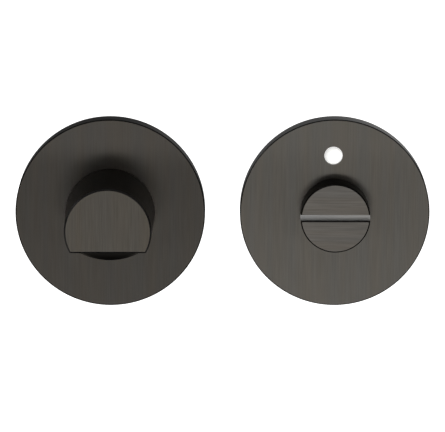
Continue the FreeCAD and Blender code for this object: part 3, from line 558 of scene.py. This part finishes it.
def ridge(inner, outer, low, high):
    """A closed screw ridge along z that covers at least the stretch from low to high."""
    deselect()
    bpy.ops.mesh.primitive_plane_add(size=1.0)
    made = bpy.context.object
    bpy.ops.object.mode_set(mode="EDIT")
    bpy.ops.mesh.select_all(action="SELECT")
    bpy.ops.transform.rotate(value=math.radians(90.0), orient_axis="X", center_override=ORIGIN)
    bpy.ops.transform.resize(value=(outer - inner, 1.0, RIDGE_WIDTH), center_override=ORIGIN)
    pick(made, lambda middle: middle.x > 0.0)
    bpy.ops.transform.resize(value=(1.0, 1.0, CREST_SHARE), center_override=ORIGIN)
    bpy.ops.mesh.select_all(action="SELECT")
    bpy.ops.transform.translate(value=((inner + outer) / 2, 0.0, low - PITCH))
    bpy.ops.object.mode_set(mode="OBJECT")
    screw = made.modifiers.new("turns", "SCREW")
    screw.screw_offset = PITCH
    screw.iterations = math.ceil((high - low) / PITCH) + 2
    screw.steps = STEPS_PER_TURN
    screw.render_steps = STEPS_PER_TURN
    bpy.ops.object.modifier_apply(modifier=screw.name)
    bpy.ops.object.mode_set(mode="EDIT")
    bpy.ops.mesh.select_all(action="SELECT")
    bpy.ops.mesh.fill_holes(sides=4)
    bpy.ops.mesh.select_all(action="SELECT")
    bpy.ops.mesh.normals_make_consistent(inside=False)
    bpy.ops.object.mode_set(mode="OBJECT")
    return made


def twin_of(part):
    """A copy of a piece with a mesh of its own."""
    deselect()
    part.select_set(True)
    bpy.context.view_layer.objects.active = part
    bpy.ops.object.duplicate()
    return bpy.context.object


def settle(part, node, body, finish, place=None):
    """Turns a finished piece from z to the frame's y, moves it to its solid's axis and stands in for it."""
    deselect()
    part.select_set(True)
    bpy.context.view_layer.objects.active = part
    if place is None:
        part.rotation_euler = (math.radians(90.0), 0.0, 0.0)
        part.location = (middle(node, 0), 0.0, middle(node, 2))
    else:
        part.location = place
    bpy.ops.object.transform_apply()
    bpy.ops.object.mode_set(mode="EDIT")
    bpy.ops.mesh.select_all(action="SELECT")
    bpy.ops.mesh.remove_doubles(threshold=SAME_PLACE)
    bpy.ops.mesh.quads_convert_to_tris(quad_method="BEAUTY", ngon_method="BEAUTY")
    bpy.ops.object.mode_set(mode="OBJECT")
    bpy.ops.object.shade_smooth_by_angle(angle=math.radians(30.0))
    part.name = f"threaded_{node}"
    part.data.materials.clear()
    part.data.materials.append(finish)
    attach(part, body)
    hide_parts(node)
    print(part.name, "has", len(part.data.polygons), "faces")


# %% [markdown]
# ## The bolts through the door
# An M4 bolt with a pan head and a cross recess, whose wings narrow towards their floor as the driver's
# do. Its plain shank passes the base, and the thread takes over where the sleeve of the other half will
# meet it.

# %% Two bolts
HEAD_HEIGHT = 2.4 * MM
HEAD_ROUNDING = 0.8 * MM
PLAIN_LENGTH = 8.0 * MM
RECESS_SPAN = 4.4 * MM
RECESS_WIDTH = 1.0 * MM
RECESS_DEPTH = 1.6 * MM
RECESS_TAPER = (0.3, 0.5, 1.0)
CORE_BEVEL = 0.2 * MM
TIP_BEVEL = 0.6 * MM
SHANK_BEVEL = 0.3 * MM
SHANK_IN_HEAD = 0.2 * MM


def recess_wing(turn, top):
    """One tapered wing of a cross recess, its opening at the top."""
    deselect()
    bpy.ops.mesh.primitive_cube_add(size=1.0)
    made = bpy.context.object
    bpy.ops.object.mode_set(mode="EDIT")
    opening = (RECESS_SPAN, RECESS_WIDTH, 2 * RECESS_DEPTH)
    bpy.ops.transform.resize(value=opening, center_override=ORIGIN)
    pick(made, lambda middle: middle.z < 0.0)
    bpy.ops.transform.resize(value=RECESS_TAPER, center_override=ORIGIN)
    bpy.ops.mesh.select_all(action="SELECT")
    bpy.ops.transform.rotate(value=turn, orient_axis="Z", center_override=ORIGIN)
    bpy.ops.transform.translate(value=(0.0, 0.0, top))
    bpy.ops.object.mode_set(mode="OBJECT")
    return made


def pan_head_bolt(node):
    """A bolt with a pan head at the viewer's end and a thread over most of its shank."""
    low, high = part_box(node)
    top = -low.y
    end = -high.y
    head_radius = (high.x - low.x) / 2
    seat = top - HEAD_HEIGHT
    thread_top = seat - PLAIN_LENGTH
    made = bar(ROOT_RADIUS, end, thread_top + PITCH, bevel_low=CORE_BEVEL)
    meet(made, ridge(ROOT_RADIUS - OVERLAP, CREST_RADIUS, end, thread_top), "UNION")
    meet(made, bar(BOLT_RADIUS, end, thread_top + 0.5 * PITCH, bevel_low=TIP_BEVEL), "INTERSECT")
    meet(made, bar(BOLT_RADIUS, thread_top, seat + SHANK_IN_HEAD, bevel_low=SHANK_BEVEL), "UNION")
    meet(made, bar(head_radius, seat, top, FINE_SIDES, bevel_high=HEAD_ROUNDING, segments=6), "UNION")
    for turn in (0.0, math.radians(90.0)):
        meet(made, recess_wing(turn, top), "DIFFERENCE")
    return made


left_bolt = pan_head_bolt("turn_bolt_left")
bolts = (("turn_bolt_right", twin_of(left_bolt)), ("turn_bolt_left", left_bolt))
for node_name, piece in bolts:
    zinc = turned(f"{node_name} zinc", *zinc_colours, 0.30, middle(node_name, 0))
    settle(piece, node_name, "root", zinc)

# %% [markdown]
# ## The sleeves and the grub screw
# Each sleeve is a tube with a hexagon head and an M4 thread inside. The grub screw is all thread, with a
# hexagon socket in one end. It sits in the stem of the thumb turn and presses on the spindle.

# %% Two threaded sleeves
SLEEVE_RADIUS = 3.2 * MM
SLEEVE_HEAD = 1.2 * MM
SLEEVE_BEVEL = 0.4 * MM
SLEEVE_IN_HEAD = 0.8 * MM
SLEEVE_CORE = 1.65 * MM
HEXAGON_ROUNDING = 0.56
HEXAGON_BEVEL = 0.3 * MM
BRASS_COLOURS = ((0.56, 0.40, 0.16, 1), (0.66, 0.50, 0.24, 1))


def hexagon_bar(flats, low, high):
    """A six-sided bar along z, measured across its flats."""
    return bar(flats / 2 / math.cos(math.radians(30.0)), low, high, sides=6)


def threaded_sleeve(node):
    """A tube with a hexagon head at the viewer's end and a thread right through."""
    low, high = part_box(node)
    top = -low.y
    end = -high.y
    flats = high.x - low.x
    made = hexagon_bar(flats, top - SLEEVE_HEAD, top)
    meet(made, bar(HEXAGON_ROUNDING * flats, end, top, FINE_SIDES, bevel_high=HEXAGON_BEVEL), "INTERSECT")
    sleeve_top = top - SLEEVE_HEAD + SLEEVE_IN_HEAD
    meet(made, bar(SLEEVE_RADIUS, end, sleeve_top, FINE_SIDES, bevel_low=SLEEVE_BEVEL), "UNION")
    hole = bar(SLEEVE_CORE, end - PITCH, top + PITCH)
    meet(hole, ridge(SLEEVE_CORE - 2 * OVERLAP, BOLT_RADIUS, end, top), "UNION")
    return meet(made, hole, "DIFFERENCE")


left_sleeve = threaded_sleeve("release_sleeve_left")
sleeves = (("release_sleeve_right", twin_of(left_sleeve)), ("release_sleeve_left", left_sleeve))
for node_name, piece in sleeves:
    brass = turned(f"{node_name} brass", *BRASS_COLOURS, 0.28, middle(node_name, 0))
    settle(piece, node_name, "root", brass)

# %% The grub screw
GRUB_BEVEL = 0.3 * MM
GRUB_KEY = 2.0 * MM
GRUB_KEY_DEPTH = 1.2 * MM


def grub_screw(node):
    """A short headless screw that stands upright, its socket on top."""
    low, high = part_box(node)
    made = bar(ROOT_RADIUS, low.z - PITCH, high.z + PITCH)
    meet(made, ridge(ROOT_RADIUS - OVERLAP, CREST_RADIUS, low.z, high.z), "UNION")
    meet(made, bar(BOLT_RADIUS, low.z, high.z, bevel_low=GRUB_BEVEL, bevel_high=GRUB_BEVEL), "INTERSECT")
    return meet(made, hexagon_bar(GRUB_KEY, high.z - GRUB_KEY_DEPTH, high.z + PITCH), "DIFFERENCE")


node_name = "spindle_grub_screw"
black_oxide = turned("black oxide", (0.018, 0.018, 0.020, 1), (0.032, 0.031, 0.030, 1), 0.35, TURN_X)
grub_place = (middle(node_name, 0), middle(node_name, 1), 0.0)
settle(grub_screw(node_name), node_name, "turn", black_oxide, grub_place)

# %% [markdown]
# ## The room
# The photograph has a white ground with no visible edge. Here it comes from the world's colour for rays
# of the camera, so the light on the object stays plain. Metal shows the room around it, and this metal
# stood before a bright screen of limited width, which reaches down to the floor and fades upwards. The
# flat faces catch that screen, and above the knob they show the knob's own dark side instead. The room
# behind is dark, a little paler on the right, and the upper rims of the roses catch that. Weaker screens
# above and on both sides, and a ring of the floor round the object, serve the pieces seen from the
# sides, from above and from the back. The light that falls on matt surfaces comes evenly from all round.

# %% What reflections find
MATT_LEVEL = 0.8
ROOM_LEVEL = 0.08
ROOM_BEHIND = 0.17
SCREEN_AHEAD = 2.65
SCREEN_ABOVE = 0.9
SCREEN_BESIDE = 0.9
BRIGHT_CORNER = 0.42

# Each pair tells where a change begins and where it is complete: as sideways over forwards for the
# screen's slopes, in metres from the axes on the floor, and as part of a direction of length 1 elsewhere.
SCREEN_SLOPES = (0.04, 0.28)
SCREEN_FADE = (0.22, -0.08)
SKY_AHEAD = (0.30, 0.70)
FLOOR_AHEAD = (0.4, 0.8)
BACKWARDS = (0.50, 0.90)
TO_THE_RIGHT = (0.0, 0.20)
UPWARDS = (0.50, 0.80)
SIDEWAYS = (0.60, 0.85)
RING_START = (0.30, 0.50)
RING_END = (1.4, 1.9)


def front_screen(tree, x, y, near, far):
    """How white the room is in front: full within the screen's width, and dark to its sides and behind."""
    slope = sums(tree, "ABSOLUTE", sums(tree, "DIVIDE", x, y))
    width = sums(tree, "SUBTRACT", 1.0, between(tree, slope, *SCREEN_SLOPES))
    ahead = between(tree, sums(tree, "MULTIPLY", y, -1.0), near, far)
    return sums(tree, "MULTIPLY", width, ahead)


def parts_of(tree, output):
    """The x, y and z of a coordinate."""
    made = add(tree, "ShaderNodeSeparateXYZ")
    join(tree, add(tree, "ShaderNodeTexCoord").outputs[output], made.inputs[0])
    return made.outputs["X"], made.outputs["Y"], made.outputs["Z"]


def kinds_of_ray(tree):
    """Two masks: rays that come off a mirror or through glass, and rays straight from the camera."""
    ray = add(tree, "ShaderNodeLightPath")
    mirrored = sums(tree, "MAXIMUM", ray.outputs["Is Glossy Ray"], ray.outputs["Is Transmission Ray"])
    return mirrored, ray.outputs["Is Camera Ray"]


# %% The world
world = bpy.data.worlds.new("studio")
bpy.context.scene.world = world
world.use_nodes = True
sky = world.node_tree
sky.nodes.clear()
x, y, z = parts_of(sky, "Generated")
behind = either(sky, between(sky, x, *TO_THE_RIGHT), ROOM_BEHIND, BRIGHT_CORNER)
mirror_level = either(sky, between(sky, y, *BACKWARDS), ROOM_LEVEL, behind)
ahead = sums(sky, "MULTIPLY", front_screen(sky, x, y, *SKY_AHEAD), between(sky, z, *SCREEN_FADE))
mirror_level = either(sky, ahead, mirror_level, SCREEN_AHEAD)
mirror_level = either(sky, between(sky, z, *UPWARDS), mirror_level, SCREEN_ABOVE)
beside = between(sky, sums(sky, "ABSOLUTE", x), *SIDEWAYS)
mirror_level = either(sky, beside, mirror_level, SCREEN_BESIDE)
mirrored, direct = kinds_of_ray(sky)
level = either(sky, mirrored, MATT_LEVEL, mirror_level)
level = either(sky, direct, level, 1.0)
background = add(sky, "ShaderNodeBackground")
join(sky, level, background.inputs["Strength"])
join(sky, background.outputs[0], add(sky, "ShaderNodeOutputWorld").inputs["Surface"])
print("the world's tree has", len(sky.nodes), "nodes")

# %% The floor
FLOOR_Z = -0.45
bpy.ops.mesh.primitive_plane_add(size=8.0, location=(0.0, 0.0, FLOOR_Z))
floor = bpy.context.object
floor.name = "floor"
floor_paint, tree, floor_shader = new_material("floor paint")
floor_shader.inputs["Base Color"].default_value = (0.86, 0.86, 0.85, 1.0)
floor_shader.inputs["Roughness"].default_value = 0.7
x, y = parts_of(tree, "Object")[:2]
mirror_colour = add(tree, "ShaderNodeEmission")
reach = diagonal(tree, x, y)
outwards = between(tree, reach, *RING_START)
ring = sums(tree, "SUBTRACT", outwards, between(tree, reach, *RING_END))
around = either(tree, ring, ROOM_LEVEL, 1.0)
sideways = sums(tree, "DIVIDE", sums(tree, "ABSOLUTE", x), reach)
beside = sums(tree, "MULTIPLY", between(tree, sideways, *SIDEWAYS), outwards)
around = either(tree, beside, around, SCREEN_BESIDE)
ahead = front_screen(tree, x, y, *FLOOR_AHEAD)
join(tree, either(tree, ahead, around, SCREEN_AHEAD), mirror_colour.inputs["Strength"])
in_mirrors = add(tree, "ShaderNodeMixShader")
mirrored, direct = kinds_of_ray(tree)
join(tree, mirrored, in_mirrors.inputs[0])
join(tree, floor_shader.outputs[0], in_mirrors.inputs[1])
join(tree, mirror_colour.outputs[0], in_mirrors.inputs[2])
ground_colour = add(tree, "ShaderNodeEmission")
ground_colour.inputs["Strength"].default_value = 0.9
with_shadow = add(tree, "ShaderNodeAddShader")
join(tree, floor_shader.outputs[0], with_shadow.inputs[0])
join(tree, ground_colour.outputs[0], with_shadow.inputs[1])
in_all = add(tree, "ShaderNodeMixShader")
join(tree, direct, in_all.inputs[0])
join(tree, in_mirrors.outputs[0], in_all.inputs[1])
join(tree, with_shadow.outputs[0], in_all.inputs[2])
join(tree, in_all.outputs[0], tree.nodes["Material Output"].inputs["Surface"])
floor.data.materials.append(floor_paint)
print("the floor lies", round(-FLOOR_Z / MM), "mm below the axes")

# %% A soft lamp in front
lamp_data = bpy.data.lights.new("front softbox", "AREA")
lamp_data.shape = "RECTANGLE"
lamp_data.size = 1.2
lamp_data.size_y = 0.8
lamp_data.energy = 12.0
lamp = bpy.data.objects.new("front softbox", lamp_data)
lamp.location = (-0.5, -1.0, 0.9)
lamp.rotation_euler = (math.radians(48.0), 0.0, math.radians(-27.0))
bpy.context.scene.collection.objects.link(lamp)
print("the lamp gives", lamp_data.energy, "watts")
